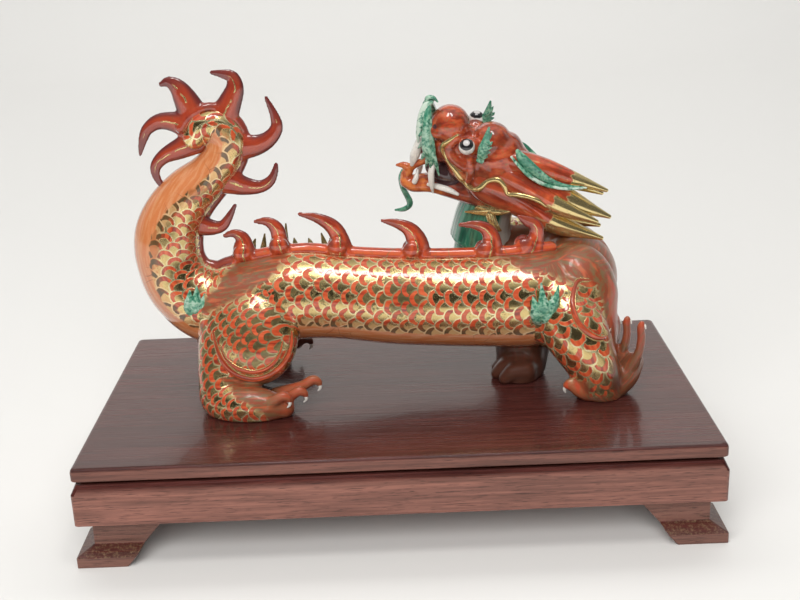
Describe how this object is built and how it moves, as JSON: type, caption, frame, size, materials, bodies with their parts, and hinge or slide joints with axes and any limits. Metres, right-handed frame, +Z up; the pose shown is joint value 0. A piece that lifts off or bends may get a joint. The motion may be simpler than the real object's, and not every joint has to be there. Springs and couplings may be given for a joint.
{
  "type": "porcelain dragon sculpture on a wooden stand",
  "caption": "Porcelain dragon in iron red and gold scales with green mane, raised tail and turned head, standing on a low dark hardwood stand with bracket feet.",
  "frame": {"origin": "on the ground under the middle of the stand, the bottom centre of the bounding box", "axes": "+X along the stand towards the dragon's chest, +Y towards the side where the neck loops round, +Z up"},
  "size_m": [0.364, 0.2, 0.2567],
  "materials": {
    "iron_red_porcelain": "glossy iron-red enamel with gilt and painted scales",
    "dark_hardwood": "dark red-brown satin polish"
  },
  "bodies": {
    "root": {"dragon": "iron_red_porcelain", "plinth_top": "dark_hardwood", "plinth_waist": "dark_hardwood", "plinth_apron": "dark_hardwood", "plinth_foot_front_left": "dark_hardwood", "plinth_foot_front_right": "dark_hardwood", "plinth_foot_back_left": "dark_hardwood", "plinth_foot_back_right": "dark_hardwood"}
  },
  "joints": []
}
